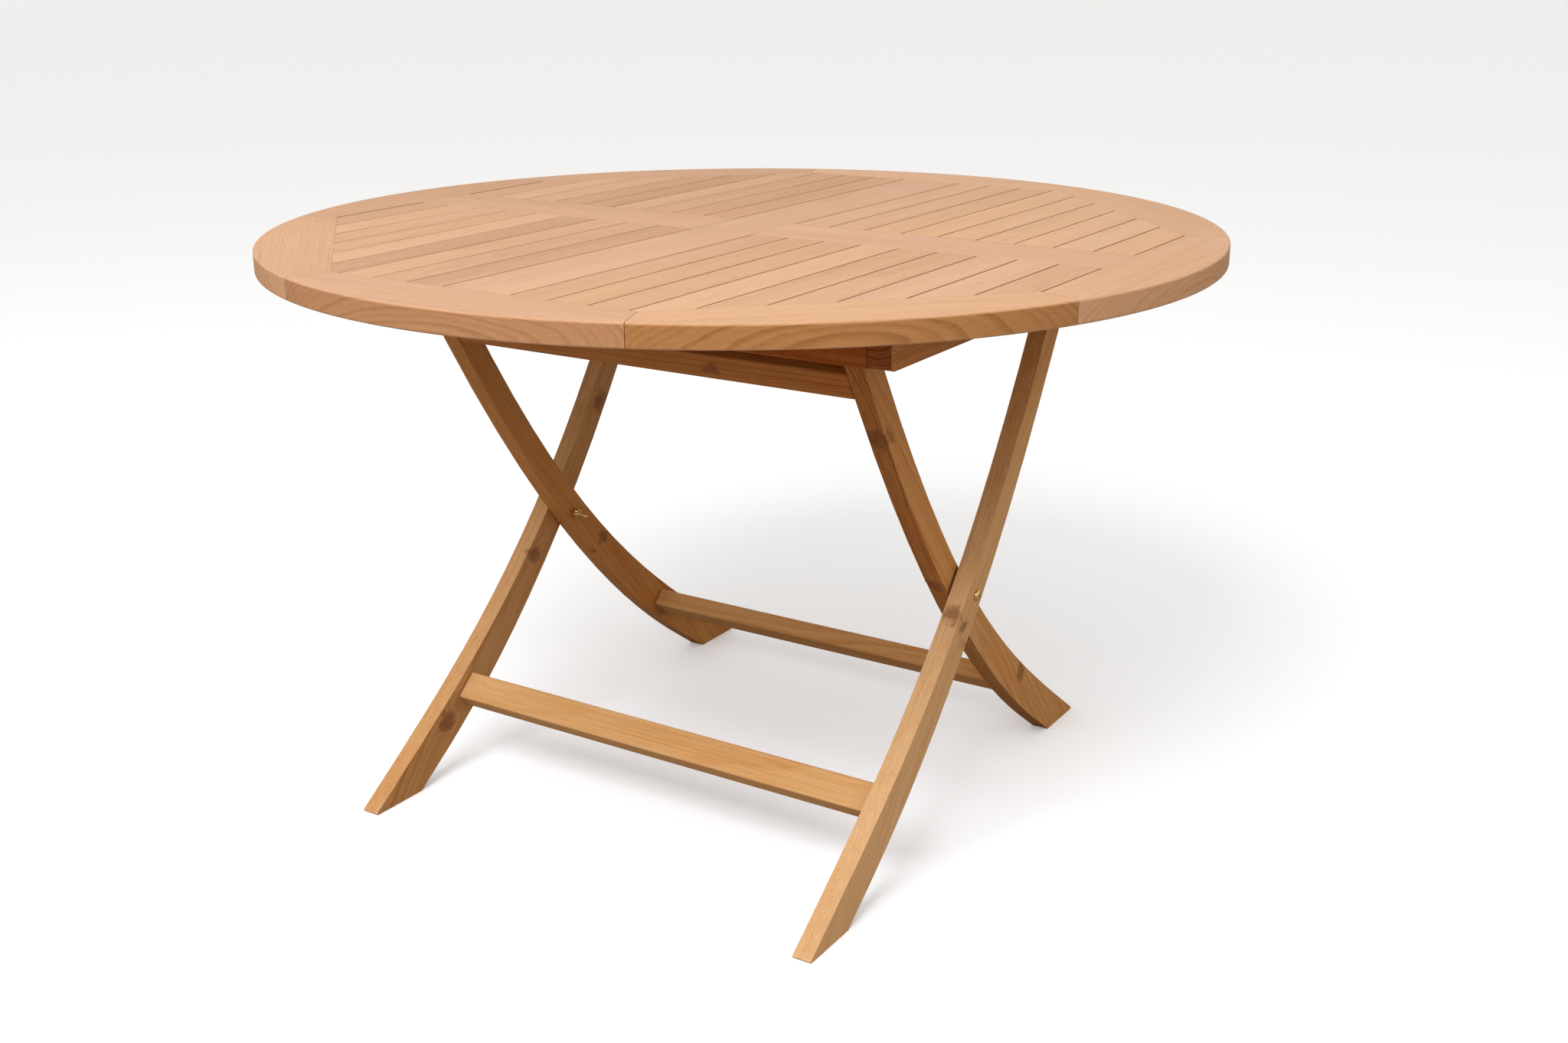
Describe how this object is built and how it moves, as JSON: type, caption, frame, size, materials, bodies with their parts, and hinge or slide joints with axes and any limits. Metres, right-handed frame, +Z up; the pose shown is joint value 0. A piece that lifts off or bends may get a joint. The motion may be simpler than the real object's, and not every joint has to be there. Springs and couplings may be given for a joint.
{
  "type": "folding table",
  "caption": "Round slatted hardwood table on two curved leg frames that cross at pivot bolts; the top tips up on hinge bolts as the frames fold closed.",
  "frame": {"origin": "on the floor, under the centre of the round top", "axes": "+X along the pivot bolts and cross rail, +Y along the slats towards the hinged side, +Z up"},
  "size_m": [1.2, 1.2, 0.743],
  "materials": {
    "top_wood": "lightly sanded oiled hardwood, pale pinkish tan",
    "rim_wood": "sanded oiled hardwood, warm tan with end grain at the round edge",
    "frame_wood": "sanded oiled hardwood, mid brown with knots",
    "under_wood": "sanded oiled hardwood, dark brown",
    "brass": "satin brass with slight tarnish"
  },
  "bodies": {
    "table_top": {"long_rail": "top_wood", "cross_rail_right": "top_wood", "cross_rail_left": "top_wood", "slat_right_near_1": "top_wood", "slat_right_near_2": "top_wood", "slat_right_near_3": "top_wood", "slat_right_near_4": "top_wood", "slat_right_near_5": "top_wood", "slat_right_near_6": "top_wood", "slat_right_near_7": "top_wood", "slat_right_near_8": "top_wood", "slat_right_near_9": "top_wood", "slat_right_far_1": "top_wood", "slat_right_far_2": "top_wood", "slat_right_far_3": "top_wood", "slat_right_far_4": "top_wood", "slat_right_far_5": "top_wood", "slat_right_far_6": "top_wood", "slat_right_far_7": "top_wood", "slat_right_far_8": "top_wood", "slat_right_far_9": "top_wood", "slat_left_near_1": "top_wood", "slat_left_near_2": "top_wood", "slat_left_near_3": "top_wood", "slat_left_near_4": "top_wood", "slat_left_near_5": "top_wood", "slat_left_near_6": "top_wood", "slat_left_near_7": "top_wood", "slat_left_near_8": "top_wood", "slat_left_near_9": "top_wood", "slat_left_far_1": "top_wood", "slat_left_far_2": "top_wood", "slat_left_far_3": "top_wood", "slat_left_far_4": "top_wood", "slat_left_far_5": "top_wood", "slat_left_far_6": "top_wood", "slat_left_far_7": "top_wood", "slat_left_far_8": "top_wood", "slat_left_far_9": "top_wood", "ring_right": "rim_wood", "ring_far": "rim_wood", "ring_left": "rim_wood", "ring_near": "rim_wood", "batten_right": "under_wood", "batten_left": "under_wood", "near_bar": "under_wood", "hinge_bolt_right": "brass", "hinge_bolt_left": "brass"},
    "outer_frame": {"outer_leg_right": "frame_wood", "outer_leg_left": "frame_wood", "outer_top_rail": "frame_wood", "outer_stretcher": "frame_wood", "pivot_bolt_right": "brass", "pivot_bolt_left": "brass"},
    "inner_frame": {"inner_leg_right": "frame_wood", "inner_leg_left": "frame_wood", "inner_top_rail": "frame_wood", "inner_stretcher": "frame_wood"},
    "wing_nut_right": {"wing_nut_right": "brass"},
    "wing_nut_left": {"wing_nut_left": "brass"}
  },
  "joints": [
    {"name": "top_hinge", "type": "hinge", "parent": "table_top", "child": "outer_frame", "pos_m": [0, 0.2359, 0.69], "axis": [1, 0, 0], "range_deg": [0, 120]},
    {"name": "scissor_pivot", "type": "hinge", "parent": "outer_frame", "child": "inner_frame", "pos_m": [0, -0.007, 0.313], "axis": [-1, 0, 0], "range_deg": [0, 60]},
    {"name": "wing_nut_right_turn", "type": "hinge", "parent": "outer_frame", "child": "wing_nut_right", "pos_m": [0.29, -0.007, 0.313], "axis": [1, 0, 0], "continuous": true},
    {"name": "wing_nut_left_turn", "type": "hinge", "parent": "outer_frame", "child": "wing_nut_left", "pos_m": [-0.29, -0.007, 0.313], "axis": [1, 0, 0], "continuous": true}
  ],
  "couplings": [
    {"joint": "scissor_pivot", "follows": "top_hinge", "ratio": 0.5}
  ]
}
